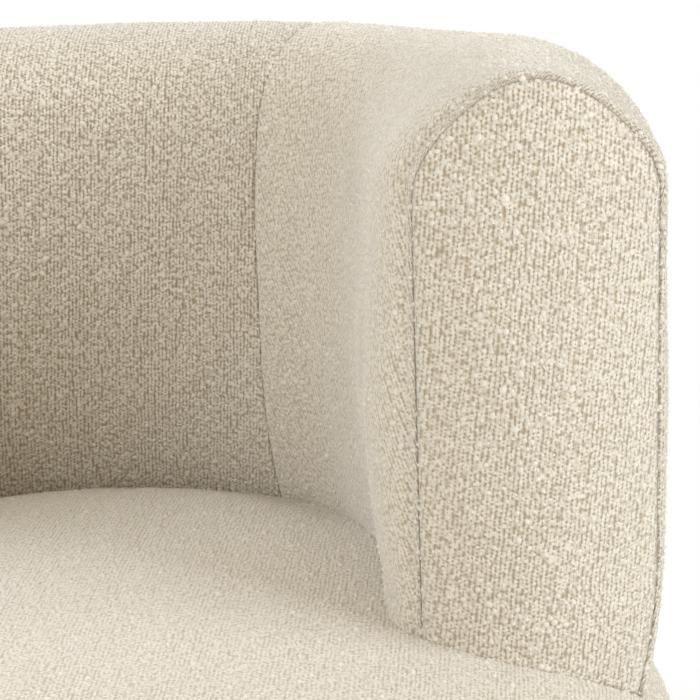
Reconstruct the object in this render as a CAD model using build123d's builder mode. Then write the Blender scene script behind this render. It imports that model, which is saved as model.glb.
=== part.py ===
from build123d import *
import os
from math import asin, atan2, cos, degrees, radians, sin, sqrt

# Round upholstered armchair: a domed drum of a seat with a thick padded wall wrapped round its back.
# Millimetres. The origin is on the floor under the middle of the seat, +Z is up, the chair's front
# looks along -Y, and plan angles run from the middle of the back (+Y) towards +X.

os.makedirs("parts", exist_ok=True)

# Driving dimensions of the seat
seat_radius = 415.0
seat_height = 425.0
dome_radius = 2260.0
shoulder_radius = 90.0
bottom_round = 30.0
drum_clearance = 45.0
cover_tuck_gap = 10.0

# Driving dimensions of the wall
total_height = 770.0
wall_setback = 11.0
wall_thickness = 148.0
wall_sweep = 98.0
arm_run = 72.8
back_seam_angle = 30.0
outer_seam_drop = 122.0
inner_tuck_rise = 95.0
inner_tuck_radius = 383.0
outer_tuck_rise = 35.0
outer_tuck_radius = 241.0

# Cloth, foam and board thicknesses
fabric = 2.5
plywood = 18.0
skin_board = 3.0
drum_board = 4.0
web_thickness = 2.0
felt_thickness = 2.0
core_thickness = 56.0
core_margin = 20.0
front_pad_thickness = 25.0
front_pad_wrap = 12.0
dust_cloth = 1.0

# Wall frame
frame_offset = 20.0
post_depth = 26.0
post_width = 45.0
post_margin = 8.0
posts_each_side = 3
top_rail_rise = 12.0
arm_post_thickness = 20.0

# Seat frame
ring_width = 115.0
deck_margin = 5.0
drum_foam = 28.5
front_rib_count = 3
rib_length = 100.0
web_width = 60.0
web_margin = 85.0
webs_each_way = 5
web_end_gap = 6.0

# Plinth and glides
plinth_setback = 85.0
plinth_wall = 30.0
glide_height = 5.0
glide_radius = 12.5
glide_round = 1.25
glide_pin_radius = 2.5
glide_pin_length = 12.0
glide_count = 6

# Fasteners
bolt_radius = 4.0
bolt_head_width = 13.0
bolt_head_height = 5.3
nut_height = 6.8
washer_radius = 8.0
washer_thickness = 1.6
bolt_proud = 3.0
screw_radius = 2.5
screw_head_radius = 5.0
board_screw_length = 35.0
board_screw_margin = 45.0
board_screws_each = 3
plinth_screw_length = 50.0

# Clearances
soft_gap = 0.3
slot_gap = 0.5
hole_gap = 0.2

# Worked out: seat drum
shoulder_center_radius = seat_radius - shoulder_radius
dome_center_height = seat_height - dome_radius
dome_to_shoulder = sqrt((dome_radius - shoulder_radius) ** 2 - shoulder_center_radius**2)
shoulder_height = dome_center_height + dome_to_shoulder
shoulder_angle = degrees(atan2(dome_to_shoulder, shoulder_center_radius))
deck_top = shoulder_height - deck_margin
deck_bottom = deck_top - plywood
base_bottom = drum_clearance + fabric
base_top = base_bottom + plywood
drum_board_radius = seat_radius - fabric - drum_foam
ring_radius = drum_board_radius - drum_board
ring_inner = ring_radius - ring_width
plinth_radius = seat_radius - plinth_setback
cover_tuck_radius = plinth_radius + cover_tuck_gap
web_top = deck_top + 2 * web_thickness
felt_top = web_top + felt_thickness
core_top = felt_top + core_thickness

# Worked out: wall
half_wall = wall_thickness / 2
wall_radius = seat_radius - wall_setback - half_wall
wall_crown = total_height - half_wall
wall_foot = deck_top + plywood
inner_tuck_height = seat_height + inner_tuck_rise
outer_tuck_height = seat_height + outer_tuck_rise
outer_seam_height = total_height - outer_seam_drop
frame_radius = wall_radius + frame_offset
frame_inner = frame_radius - post_depth / 2 - skin_board
frame_outer = frame_radius + post_depth / 2 + skin_board
post_inner_face = frame_inner + skin_board + hole_gap
post_outer_face = sqrt((frame_outer - skin_board - hole_gap) ** 2 - (post_width / 2) ** 2)
core_radius = frame_inner - slot_gap - core_margin
rail_top = deck_top + plywood
top_rail_top = wall_crown + top_rail_rise
top_rail_bottom = top_rail_top - plywood
post_length = top_rail_bottom - rail_top
post_middle = (post_inner_face + post_outer_face) / 2
arm_front = arm_run * sin(radians(wall_sweep)) - wall_radius * cos(radians(wall_sweep))
pad_front = arm_front - fabric
board_front = pad_front - front_pad_thickness
board_back = board_front - plywood
straight_run = 2 * arm_run
reach = 4 * seat_radius


def wall_plane(angle):
    """Upright plane through the chair's axis: local x is the plan radius, local y the height."""
    turn = radians(angle)
    return Plane(origin=(0, 0, 0), x_dir=(sin(turn), cos(turn), 0), z_dir=(cos(turn), -sin(turn), 0))


def at_angle(radius, angle):
    """Plan point at a radius and a plan angle from the middle of the back."""
    return radius * sin(radians(angle)), radius * cos(radians(angle))


def arm_end(radius, front):
    """Plan point where the right arm's straight run at a radius meets a front plane."""
    start = at_angle(radius, wall_sweep)
    run = (front + start[1]) / sin(radians(wall_sweep))
    return start[0] + run * cos(radians(wall_sweep)), -front


def wall_plan(low_radius, high_radius, front):
    """Plan of the wall between two radii, with both arms run on to a front plane."""
    arm = [at_angle(low_radius, wall_sweep), arm_end(low_radius, front),
           arm_end(high_radius, front), at_angle(high_radius, wall_sweep)]
    with BuildLine() as outline:
        CenterArc((0, 0), low_radius, 90 - wall_sweep, 2 * wall_sweep)
        CenterArc((0, 0), high_radius, 90 - wall_sweep, 2 * wall_sweep)
        Polyline(*arm)
        Polyline(*[(-x, y) for x, y in arm])
    make_face(outline.edges())


def band(low_radius, high_radius, low, high, mode=Mode.ADD):
    """Rectangle in a section, between two plan radii and two heights."""
    with Locations(((low_radius + high_radius) / 2, (low + high) / 2)):
        Rectangle(high_radius - low_radius, high - low, mode=mode)


def seat_section(inset, low, mode=Mode.ADD):
    """Half section of the domed seat above a height, drawn in from its cover by an inset."""
    side = seat_radius - inset
    with BuildLine() as outline:
        CenterArc((0, dome_center_height), dome_radius - inset, shoulder_angle, 90 - shoulder_angle)
        CenterArc((shoulder_center_radius, shoulder_height), shoulder_radius - inset, 0, shoulder_angle)
        Polyline((side, shoulder_height), (side, low), (0, low), (0, seat_height - inset))
    make_face(outline.edges(), mode=mode)


def drum_section(inset, mode=Mode.ADD):
    """Half section of the drum's side below the seat deck, with its rounded lower edge."""
    side = seat_radius - inset
    round_center = (seat_radius - bottom_round, drum_clearance + bottom_round)
    floor = drum_clearance + inset
    with BuildLine() as outline:
        Polyline((round_center[0], floor), (cover_tuck_radius, floor), (cover_tuck_radius, deck_top),
                 (side, deck_top), (side, round_center[1]))
        CenterArc(round_center, bottom_round - inset, -90, 90)
    make_face(outline.edges(), mode=mode)


def wall_section(inset, mode=Mode.ADD):
    """Section of the padded wall: round top, upright sides and a foot that is drawn in on both sides."""
    inner = wall_radius - half_wall
    outer = wall_radius + half_wall
    inner_center = (inner + inner_tuck_radius, inner_tuck_height)
    outer_center = (outer - outer_tuck_radius, outer_tuck_height)
    inner_turn = degrees(asin((inner_tuck_height - wall_foot) / (inner_tuck_radius - inset)))
    outer_turn = degrees(asin((outer_tuck_height - wall_foot) / (outer_tuck_radius - inset)))
    with BuildLine() as outline:
        CenterArc((wall_radius, wall_crown), half_wall - inset, 0, 180)
        Line((inner + inset, wall_crown), (inner + inset, inner_tuck_height))
        inner_foot = CenterArc(inner_center, inner_tuck_radius - inset, 180, inner_turn)
        Line((outer - inset, wall_crown), (outer - inset, outer_tuck_height))
        outer_foot = CenterArc(outer_center, outer_tuck_radius - inset, 0, -outer_turn)
        Line(inner_foot @ 1, outer_foot @ 1)
    make_face(outline.edges(), mode=mode)


def inside_foam_section():
    """Foam between the frame and the inside cover."""
    wall_section(fabric)
    band(0, frame_inner, wall_foot, top_rail_top, mode=Mode.INTERSECT)


def outside_foam_section():
    """Foam between the frame and the outside cover."""
    wall_section(fabric)
    band(frame_outer, reach, wall_foot, top_rail_top, mode=Mode.INTERSECT)


def top_foam_section():
    """Foam roll above the top rail."""
    wall_section(fabric)
    band(0, reach, top_rail_top, total_height, mode=Mode.INTERSECT)


def cover_section():
    """Cloth all round the wall's section."""
    wall_section(0)
    wall_section(fabric, mode=Mode.SUBTRACT)


def inside_cover_section():
    """Cloth of the inside and over the top, as far as the seam on the outside."""
    cover_section()
    band(wall_radius, reach, 0, outer_seam_height, mode=Mode.SUBTRACT)


def outside_cover_section():
    """Cloth of the outside below that seam."""
    cover_section()
    band(wall_radius, reach, 0, outer_seam_height, mode=Mode.INTERSECT)


def along_wall(profile, start, end, front=None):
    """Run a section round the wall between two plan angles, and on along the arm to a front plane."""
    with BuildSketch(wall_plane(end)) as section:
        profile()
    revolve(section.sketch, axis=Axis.Z, revolution_arc=end - start)
    if front is not None:
        extrude(section.sketch, amount=straight_run)
        split(bisect_by=Plane.XZ.offset(front), keep=Keep.BOTTOM)


def arm_slice(profile, back, front):
    """Slice of the straight arm between two planes across the chair."""
    with BuildSketch(wall_plane(wall_sweep)) as section:
        profile()
    extrude(section.sketch, amount=straight_run)
    extrude(section.sketch, amount=-plywood)
    split(bisect_by=Plane.XZ.offset(front), keep=Keep.BOTTOM)
    split(bisect_by=Plane.XZ.offset(back), keep=Keep.TOP)


def write(piece, name):
    """Label a finished piece and write it under its own name."""
    piece.part.label = name
    export_step(piece.part, f"parts/{name}.step")


# Cutting shapes: the seat's dome, and the slot in its foam that the wall's frame stands in

with BuildPart() as seat_envelope:
    with BuildSketch(Plane.XZ):
        seat_section(-soft_gap, base_top)
    revolve(axis=Axis.Z)

with BuildPart() as frame_slot:
    with BuildSketch(Plane.XY.offset(base_top)):
        wall_plan(frame_inner - slot_gap, frame_outer + slot_gap, board_back + slot_gap)
    extrude(amount=total_height - base_top)


# Plinth and glides

glide_ring = plinth_radius - plinth_wall / 2
between_glides = 180 / glide_count

with BuildPart() as plinth_ring:
    with BuildSketch(Plane.XY.offset(glide_height)):
        Circle(plinth_radius)
        Circle(plinth_radius - plinth_wall, mode=Mode.SUBTRACT)
    extrude(amount=base_bottom - glide_height)
    with BuildSketch(Plane.XY.offset(glide_height)):
        with PolarLocations(glide_ring, glide_count):
            Circle(glide_pin_radius)
    extrude(amount=glide_pin_length, mode=Mode.SUBTRACT)
    with BuildSketch(Plane.XY.offset(base_bottom)):
        with PolarLocations(glide_ring, glide_count, start_angle=between_glides):
            Circle(screw_radius)
    extrude(amount=plywood - plinth_screw_length, mode=Mode.SUBTRACT)
write(plinth_ring, "plinth_ring")

with BuildPart() as glides:
    with BuildSketch(Plane.XY):
        with PolarLocations(glide_ring, glide_count):
            Circle(glide_radius)
    extrude(amount=glide_height)
    fillet(glides.faces().filter_by(GeomType.PLANE).sort_by(Axis.Z)[:glide_count].edges(), glide_round)
    with BuildSketch(Plane.XY.offset(glide_height)):
        with PolarLocations(glide_ring, glide_count):
            Circle(glide_pin_radius)
    extrude(amount=glide_pin_length)
write(glides, "glides")


# Seat frame: two plywood rings held apart by ribs, with a bent board round them

with BuildPart() as base_ring:
    with BuildSketch(Plane.XY.offset(base_bottom)):
        Circle(ring_radius)
        Circle(ring_inner, mode=Mode.SUBTRACT)
    extrude(amount=plywood)
    with Locations(Plane.XY.offset(base_top)):
        with PolarLocations(glide_ring, glide_count, start_angle=between_glides):
            CounterSinkHole(screw_radius, screw_head_radius, plywood, counter_sink_angle=90)
write(base_ring, "base_ring")

with BuildPart() as plinth_screws:
    with BuildSketch(Plane.XY.offset(base_top)):
        with PolarLocations(glide_ring, glide_count, start_angle=between_glides):
            Circle(screw_head_radius)
    extrude(amount=screw_radius - screw_head_radius, taper=45)
    with BuildSketch(Plane.XY.offset(base_top)):
        with PolarLocations(glide_ring, glide_count, start_angle=between_glides):
            Circle(screw_radius)
    extrude(amount=-plinth_screw_length)
write(plinth_screws, "plinth_screws")

# A rib stands under each post of the wall, and a few more share out the open front
post_end = wall_sweep - post_margin
post_step = post_end / posts_each_side
post_angles = [post_step * step for step in range(-posts_each_side, posts_each_side + 1)]
front_rib_step = 2 * (180 - post_end) / (front_rib_count + 1)
front_rib_angles = [post_end + front_rib_step * (index + 1) for index in range(front_rib_count)]
rib_middle = ring_radius - slot_gap - rib_length / 2

with BuildPart() as seat_ribs:
    with BuildSketch(Plane.XY.offset(base_top)):
        for angle in post_angles + front_rib_angles:
            with Locations(Location((*at_angle(rib_middle, angle), 0), (0, 0, -angle))):
                Rectangle(plywood, rib_length)
    extrude(amount=deck_bottom - base_top)
write(seat_ribs, "seat_ribs")

bolt_angles = [angle + post_step / 2 for angle in post_angles[:-1]]
bolt_places = [at_angle(frame_radius, angle) for angle in bolt_angles]

with BuildPart() as deck_ring:
    with BuildSketch(Plane.XY.offset(deck_bottom)):
        Circle(ring_radius)
        Circle(ring_inner, mode=Mode.SUBTRACT)
        with Locations(*bolt_places):
            Circle(bolt_radius + hole_gap, mode=Mode.SUBTRACT)
    extrude(amount=plywood)
write(deck_ring, "deck_ring")

with BuildPart() as drum_skin:
    with BuildSketch(Plane.XY.offset(base_bottom)):
        Circle(drum_board_radius)
        Circle(ring_radius, mode=Mode.SUBTRACT)
    extrude(amount=deck_top - base_bottom)
write(drum_skin, "drum_skin")

with BuildPart() as dust_cover:
    with BuildSketch(Plane.XY.offset(base_bottom)):
        Circle(plinth_radius - plinth_wall - slot_gap)
    extrude(amount=-dust_cloth)
write(dust_cover, "dust_cover")


# Seat suspension and filling

web_reach = ring_inner - web_margin
web_offsets = [web_reach * (2 * index / (webs_each_way - 1) - 1) for index in range(webs_each_way)]


def web_length(offset):
    """Length of a strap at a distance from the middle, with its corners just inside the seat's core."""
    return 2 * sqrt((core_radius - web_end_gap) ** 2 - (abs(offset) + web_width / 2) ** 2)


with BuildPart() as webbing_lengthwise:
    with BuildSketch(Plane.XY.offset(deck_top)):
        for offset_x in web_offsets:
            with Locations((offset_x, 0)):
                Rectangle(web_width, web_length(offset_x))
    extrude(amount=web_thickness)
write(webbing_lengthwise, "webbing_lengthwise")

with BuildPart() as webbing_crosswise:
    with BuildSketch(Plane.XY.offset(deck_top + web_thickness)):
        for offset_y in web_offsets:
            with Locations((0, offset_y)):
                Rectangle(web_length(offset_y), web_width)
    extrude(amount=web_thickness)
write(webbing_crosswise, "webbing_crosswise")

with BuildPart() as seat_felt:
    with BuildSketch(Plane.XY.offset(web_top)):
        Circle(core_radius)
    extrude(amount=felt_thickness)
write(seat_felt, "seat_felt")

with BuildPart() as seat_core_foam:
    with BuildSketch(Plane.XY.offset(felt_top)):
        Circle(core_radius)
    extrude(amount=core_thickness)
write(seat_core_foam, "seat_core_foam")

with BuildPart() as seat_top_foam:
    with BuildSketch(Plane.XZ):
        seat_section(fabric, deck_top)
        band(0, core_radius, deck_top, core_top, mode=Mode.SUBTRACT)
    revolve(axis=Axis.Z)
    add(frame_slot.part, mode=Mode.SUBTRACT)
write(seat_top_foam, "seat_top_foam")

with BuildPart() as drum_side_foam:
    with BuildSketch(Plane.XZ):
        drum_section(fabric)
        band(0, drum_board_radius, 0, deck_top, mode=Mode.SUBTRACT)
    revolve(axis=Axis.Z)
write(drum_side_foam, "drum_side_foam")

with BuildPart() as seat_top_cover:
    with BuildSketch(Plane.XZ):
        seat_section(0, deck_top)
        seat_section(fabric, deck_top, mode=Mode.SUBTRACT)
    revolve(axis=Axis.Z)
    add(frame_slot.part, mode=Mode.SUBTRACT)
write(seat_top_cover, "seat_top_cover")

with BuildPart() as drum_side_cover:
    with BuildSketch(Plane.XZ):
        drum_section(0)
        drum_section(fabric, mode=Mode.SUBTRACT)
    revolve(axis=Axis.Z)
write(drum_side_cover, "drum_side_cover")


# Wall frame: rails, posts, thin bent boards and the arm front boards

with BuildPart() as bottom_rail:
    with BuildSketch(Plane.XY.offset(deck_top)):
        wall_plan(frame_inner, frame_outer, board_back)
        with Locations(*bolt_places):
            Circle(bolt_radius + hole_gap, mode=Mode.SUBTRACT)
    extrude(amount=plywood)
write(bottom_rail, "bottom_rail")

with BuildPart() as top_rail:
    with BuildSketch(Plane.XY.offset(top_rail_bottom)):
        wall_plan(frame_inner, frame_outer, board_back)
    extrude(amount=plywood)
write(top_rail, "top_rail")

with BuildPart() as wall_posts:
    with BuildSketch(Plane.XY.offset(rail_top)):
        for angle in post_angles:
            with Locations(Location((*at_angle(post_middle, angle), 0), (0, 0, -angle))):
                Rectangle(post_width, post_outer_face - post_inner_face)
    extrude(amount=post_length)
write(wall_posts, "wall_posts")

with BuildPart() as inner_skin:
    with BuildSketch(Plane.XY.offset(rail_top)):
        wall_plan(frame_inner, frame_inner + skin_board, board_back)
    extrude(amount=post_length)
write(inner_skin, "inner_skin")

with BuildPart() as outer_skin:
    with BuildSketch(Plane.XY.offset(rail_top)):
        wall_plan(frame_outer - skin_board, frame_outer, board_back)
    extrude(amount=post_length)
write(outer_skin, "outer_skin")

# The arm's boards are screwed to a post behind them, along the middle of the frame
screw_x = arm_end(frame_radius, board_back)[0]
screw_low = seat_height + board_screw_margin
screw_step = (top_rail_bottom - board_screw_margin - screw_low) / (board_screws_each - 1)
screw_heights = [screw_low + screw_step * index for index in range(board_screws_each)]
screw_places = [(screw_x, height) for height in screw_heights]
screw_head_plane = Plane.XZ.offset(board_front)

with BuildPart() as arm_post_right:
    arm_slice(lambda: band(post_inner_face, frame_outer - skin_board - hole_gap, rail_top, top_rail_bottom),
              board_back - arm_post_thickness, board_back)
    with BuildSketch(screw_head_plane):
        with Locations(*screw_places):
            Circle(screw_radius)
    extrude(amount=-board_screw_length, mode=Mode.SUBTRACT)
write(arm_post_right, "arm_post_right")

with BuildPart() as arm_board_right:
    arm_slice(lambda: wall_section(fabric + front_pad_wrap), board_back, board_front)
    add(seat_envelope.part, mode=Mode.SUBTRACT)
    with Locations(screw_head_plane):
        with Locations(*screw_places):
            CounterSinkHole(screw_radius, screw_head_radius, plywood, counter_sink_angle=90)
write(arm_board_right, "arm_board_right")

with BuildPart() as arm_screws_right:
    with BuildSketch(screw_head_plane):
        with Locations(*screw_places):
            Circle(screw_head_radius)
    extrude(amount=screw_radius - screw_head_radius, taper=45)
    with BuildSketch(screw_head_plane):
        with Locations(*screw_places):
            Circle(screw_radius)
    extrude(amount=-board_screw_length)
write(arm_screws_right, "arm_screws_right")


# Bolts that hold the wall down on the seat's deck

washer_top = deck_bottom
head_top = washer_top - washer_thickness

with BuildPart() as wall_washers:
    with BuildSketch(Plane.XY.offset(washer_top)):
        with Locations(*bolt_places):
            Circle(washer_radius)
            Circle(bolt_radius + hole_gap, mode=Mode.SUBTRACT)
    extrude(amount=-washer_thickness)
write(wall_washers, "wall_washers")

with BuildPart() as wall_bolts:
    with BuildSketch(Plane.XY.offset(head_top)):
        with Locations(*bolt_places):
            RegularPolygon(bolt_head_width / 2, 6, major_radius=False)
    extrude(amount=-bolt_head_height)
    with BuildSketch(Plane.XY.offset(head_top)):
        with Locations(*bolt_places):
            Circle(bolt_radius)
    extrude(amount=rail_top - head_top + nut_height + bolt_proud)
write(wall_bolts, "wall_bolts")

with BuildPart() as wall_nuts:
    with BuildSketch(Plane.XY.offset(rail_top)):
        with Locations(*bolt_places):
            RegularPolygon(bolt_head_width / 2, 6, major_radius=False)
            Circle(bolt_radius, mode=Mode.SUBTRACT)
    extrude(amount=nut_height)
write(wall_nuts, "wall_nuts")


# Wall filling

with BuildPart() as inside_back_foam:
    along_wall(inside_foam_section, -back_seam_angle, back_seam_angle)
    add(seat_envelope.part, mode=Mode.SUBTRACT)
write(inside_back_foam, "inside_back_foam")

with BuildPart() as inside_arm_foam_right:
    along_wall(inside_foam_section, back_seam_angle, wall_sweep, board_back)
    add(seat_envelope.part, mode=Mode.SUBTRACT)
write(inside_arm_foam_right, "inside_arm_foam_right")

with BuildPart() as outside_foam:
    along_wall(outside_foam_section, 0, wall_sweep, board_back)
    add(seat_envelope.part, mode=Mode.SUBTRACT)
    mirror(about=Plane.YZ)
write(outside_foam, "outside_foam")

with BuildPart() as top_roll_foam:
    along_wall(top_foam_section, 0, wall_sweep, board_back)
    mirror(about=Plane.YZ)
write(top_roll_foam, "top_roll_foam")

with BuildPart() as arm_front_pad_right:
    arm_slice(lambda: wall_section(fabric), board_back, pad_front)
    add(seat_envelope.part, mode=Mode.SUBTRACT)
    add(arm_board_right.part, mode=Mode.SUBTRACT)
    add(arm_screws_right.part, mode=Mode.SUBTRACT)
write(arm_front_pad_right, "arm_front_pad_right")


# Wall covers

with BuildPart() as inside_back_cover:
    along_wall(inside_cover_section, -back_seam_angle, back_seam_angle)
    add(seat_envelope.part, mode=Mode.SUBTRACT)
write(inside_back_cover, "inside_back_cover")

with BuildPart() as arm_cover_right:
    along_wall(inside_cover_section, back_seam_angle, wall_sweep, arm_front)
    add(seat_envelope.part, mode=Mode.SUBTRACT)
write(arm_cover_right, "arm_cover_right")

with BuildPart() as outside_cover:
    along_wall(outside_cover_section, 0, wall_sweep, arm_front)
    add(seat_envelope.part, mode=Mode.SUBTRACT)
    mirror(about=Plane.YZ)
write(outside_cover, "outside_cover")

with BuildPart() as arm_front_cover_right:
    arm_slice(lambda: wall_section(fabric), pad_front, arm_front)
    add(seat_envelope.part, mode=Mode.SUBTRACT)
write(arm_front_cover_right, "arm_front_cover_right")


# The left arm mirrors the right one

right_pieces = {
    "arm_post": arm_post_right,
    "arm_board": arm_board_right,
    "arm_screws": arm_screws_right,
    "inside_arm_foam": inside_arm_foam_right,
    "arm_front_pad": arm_front_pad_right,
    "arm_cover": arm_cover_right,
    "arm_front_cover": arm_front_cover_right,
}
for name, right_piece in right_pieces.items():
    with BuildPart() as left_piece:
        mirror(right_piece.part, about=Plane.YZ)
    write(left_piece, f"{name}_left")
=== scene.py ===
"""A round armchair in cream boucle: its padded covers, its underside and a studio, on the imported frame."""

import math

import bpy
import numpy as np
from mathutils import Matrix, Vector


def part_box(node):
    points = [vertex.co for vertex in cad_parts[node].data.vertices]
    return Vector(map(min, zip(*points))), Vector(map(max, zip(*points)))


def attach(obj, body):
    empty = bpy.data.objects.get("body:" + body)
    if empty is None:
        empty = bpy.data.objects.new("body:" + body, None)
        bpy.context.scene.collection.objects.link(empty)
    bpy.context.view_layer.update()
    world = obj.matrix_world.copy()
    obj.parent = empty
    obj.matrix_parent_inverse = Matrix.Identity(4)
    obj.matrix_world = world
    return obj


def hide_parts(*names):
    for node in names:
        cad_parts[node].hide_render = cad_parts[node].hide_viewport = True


bl_info = {
    "name": "Boucle Armchair",
    "version": (1, 0, 0),
    "blender": (4, 5, 0),
    "location": "View3D > Sidebar > Armchair",
    "description": "Builds the padded covers, the underside and the studio of a round armchair",
    "category": "Object",
}

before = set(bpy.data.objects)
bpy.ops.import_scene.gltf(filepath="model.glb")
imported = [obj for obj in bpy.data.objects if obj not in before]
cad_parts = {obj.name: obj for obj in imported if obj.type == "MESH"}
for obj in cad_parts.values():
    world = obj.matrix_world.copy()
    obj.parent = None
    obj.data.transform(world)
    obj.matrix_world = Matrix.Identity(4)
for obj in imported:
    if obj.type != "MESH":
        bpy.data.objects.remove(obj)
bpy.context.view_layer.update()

SEAT_LOW, SEAT_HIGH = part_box("seat_top_cover")
DRUM_LOW, DRUM_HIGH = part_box("drum_side_cover")
OUTSIDE_LOW, OUTSIDE_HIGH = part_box("outside_cover")
BACK_LOW, BACK_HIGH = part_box("inside_back_cover")
FELT_LOW, FELT_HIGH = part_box("seat_felt")
DUST_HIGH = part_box("dust_cover")[1]
PLINTH_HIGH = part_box("plinth_ring")[1]
SIDES = {"right": 1, "left": -1}

# Turn from the middle of the back to the seam at each arm
BACK_SEAM = math.radians(30)
# Points over the wall's section, from the inner foot to the outer seam, and from there to the outer foot
ROWS, OUTSIDE_ROWS = 176, 80
# A place along the wall that is past the end of an arm
PAST = 1
# Spacing of these covers' points, in mesh steps
SEAT_STEP, DRUM_STEP, OUTSIDE_STEP = 1.8, 2.8, 1.05
# How far below the seat's surface the wall's inside stands, and its outside and front
INNER_FOOT, OUTER_FOOT = 0.008, 0.009
# Distance from a seam that a cover doesn't have
FAR = np.float64(1.0)
# How much of the weave, with its painted shade between and round the loops, shows on the outer covers, from 0
# to 1
COARSE = 0.8
# Heights and sizes of the cloth's unevenness
UNEVEN = ((0.0007, 0.045), (0.00035, 0.011), (0.00025, 0.006))
# Depth and width of the groove at a cover's own seams, and at the seam round the arm's front
GROOVE, FRONT_GROOVE = (0.0010, 0.0035), (0.0014, 0.003)
# Distance from a cover's cloth to its backing
BACKING = 0.012
# Width of the arm's front panel
PANEL = 0.148
# The cloth run that plumps a cover
RUN_FRAMES = 20
RUN = {
    "quality": 5, "mass": 0.4, "vertex_group_mass": "sewn", "use_pressure": True, "uniform_pressure_force": 4,
    "tension_stiffness": 25, "compression_stiffness": 25, "shear_stiffness": 10, "bending_stiffness": 2}
STAPLES = 44
# Places of the lamps, which all have one size and colour
LAMPS = {
    "key": (2.8, -1.0, 1.7),
    "fill": (-1.8, -1.9, 1.7),
    "top": (0.6, 0.7, 2.75),
    "front": (-0.6, -2.9, 1.1),
    "rear": (-1.4, 2.9, 1.2),
}
LAMP_SIZE, LAMP_COLOUR = 1.9, (0.87, 0.935, 1.0)
LAMP_AIM = (0.05, 0.0, 0.45)
AMBIENT_COLOUR = (1.0, 0.81, 0.50, 1)
WHITE = (1, 1, 1, 1)
# The photograph's camera: its place, and its yaw, its pitch down and its roll in degrees
CAMERA_PLACE = (0.202, -1.267, 0.917)
CAMERA_TURN = (-0.14, 14.91, -1.95)


# Settings

def length(name, description, default, **more):
    """A length among the settings."""
    return bpy.props.FloatProperty(name=name, description=description, default=default, unit="LENGTH", **more)


def fine(name, description, default):
    """A length of a few millimetres among the settings."""
    return length(name, description, default, precision=4)


def power(name, description, default):
    """A lamp's power among the settings."""
    return bpy.props.FloatProperty(name=name, description=description, default=default, unit="POWER")


def tint(name, description, default):
    """A colour among the settings."""
    return bpy.props.FloatVectorProperty(
        name=name, description=description, default=default, subtype="COLOR", size=3, min=0, max=1)


class ArmchairShape(bpy.types.PropertyGroup):
    """Sizes of the padded covers."""

    seat_radius: length("Seat radius", "Half the width of the round seat", SEAT_HIGH.x)
    seat_height: length("Seat height", "Height of the seat's crown above the floor", SEAT_HIGH.z)
    seat_dome: length("Seat dome", "Radius of the seat's domed top", 2.26)
    seat_shoulder: length("Seat shoulder", "Radius of the roll at the seat's edge", 0.09)
    wall_inner: length("Wall inner radius", "Radius of the inside of the back",
                       BACK_LOW.y / math.cos(BACK_SEAM))
    wall_outer: length("Wall outer radius", "Radius of the outside of the back", OUTSIDE_HIGH.x)
    wall_top: length("Wall top", "Height of the back and arms", BACK_HIGH.z)
    wall_front: length("Arm front", "Where the arms end, along Y", OUTSIDE_LOW.y)
    wall_sweep: bpy.props.FloatProperty(
        name="Wall sweep", description="Turn of the wall from its middle to each arm's straight end",
        default=math.radians(98), subtype="ANGLE")
    outer_seam: length("Outer seam", "Height of the seam round the outside", OUTSIDE_HIGH.z)
    lip: length("Arm lip", "Radius of the rolled edge at the arm's front", 0.005)
    swell: length("Arm swell", "How far the front panel's inner seam stands in", 0.0105)
    setback: length("Front setback", "How far the arm's outer side stops short of its inner side", 0.006)
    crown: length("Panel crown", "How far the arm's front panel bulges", 0.026)
    arm_full: length("Arm fullness", "How far the inside of an arm stands in from the wall's round", 0.036)
    arm_belly: length("Arm belly", "How much fuller the arm is half way up", 0.010)
    roll: length("Arm corner", "Length of the rounded corner at the front of the arm's inside", 0.042)
    dip: length("Seat dip", "How far the wall sinks into the seat", 0.014)
    plump: length("Plump", "Most that the filling pushes a cover out", 0.006)
    step: length("Mesh step", "Spacing of the covers' points", 0.0033)


class ArmchairCloth(bpy.types.PropertyGroup):
    """Look of the boucle cloth."""

    loop_colour: tint("Loops", "Colour of the yarn's loops", (0.845, 0.793, 0.712))
    # Painted shade: the dark tan ground between the loops stands in for the shade in the hollows of the weave
    gap_shade_colour: tint("Gaps", "Colour of the ground between the loops", (0.37, 0.275, 0.155))
    column: fine("Column", "Width of one column of loops", 0.0029)
    row: fine("Row", "Height of one row of loops", 0.0026)
    relief: fine("Relief", "Height of the loops", 0.0012)
    nub_size: fine("Nub size", "Mean radius of the large loose loops", 0.0025)
    nub_gap: fine("Nub gap", "Least distance between two large loops", 0.0039)
    nub_density: bpy.props.FloatProperty(
        name="Nub density", description="Large loops for each square metre, before thinning", default=46000)


class ArmchairStudio(bpy.types.PropertyGroup):
    """Light and camera of the studio."""

    key_power: power("Key light", "Power of the large lamp at the front right", 69)
    fill_power: power("Fill light", "Power of the lamp at the front left", 36)
    top_power: power("Top light", "Power of the lamp overhead", 21)
    front_power: power("Front light", "Power of the lamp in front", 14)
    rear_power: power("Rear light", "Power of the lamp behind the chair", 40)
    ambient: bpy.props.FloatProperty(
        name="Ambient", description="Strength of the light from all round", default=0.46)
    lens: bpy.props.FloatProperty(
        name="Lens", description="Focal length of the camera on a 36 mm sensor", default=101.1, unit="CAMERA")


# Shapes of the seat and the wall

def ease(share):
    """A share from 0 to 1, eased at both ends."""
    share = np.clip(share, 0, 1)
    return share * share * (3 - 2 * share)


def near(distance, width):
    """1 at a place, and next to nothing a few widths away."""
    return np.exp(-(distance / width) ** 2)


def tuck(height, top, radius):
    """How far the wall's side draws in below a height, on an arc."""
    below = np.maximum(top - height, 0)
    return radius - np.sqrt(radius ** 2 - below ** 2)


def seat_turn(shape):
    """Angle at which the seat's dome runs into its shoulder, and the centre of the shoulder's arc."""
    centre = shape.seat_radius - shape.seat_shoulder
    angle = math.asin(centre / (shape.seat_dome - shape.seat_shoulder))
    drop = shape.seat_dome - (shape.seat_dome - shape.seat_shoulder) * math.cos(angle)
    return angle, centre, shape.seat_height - drop


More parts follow.
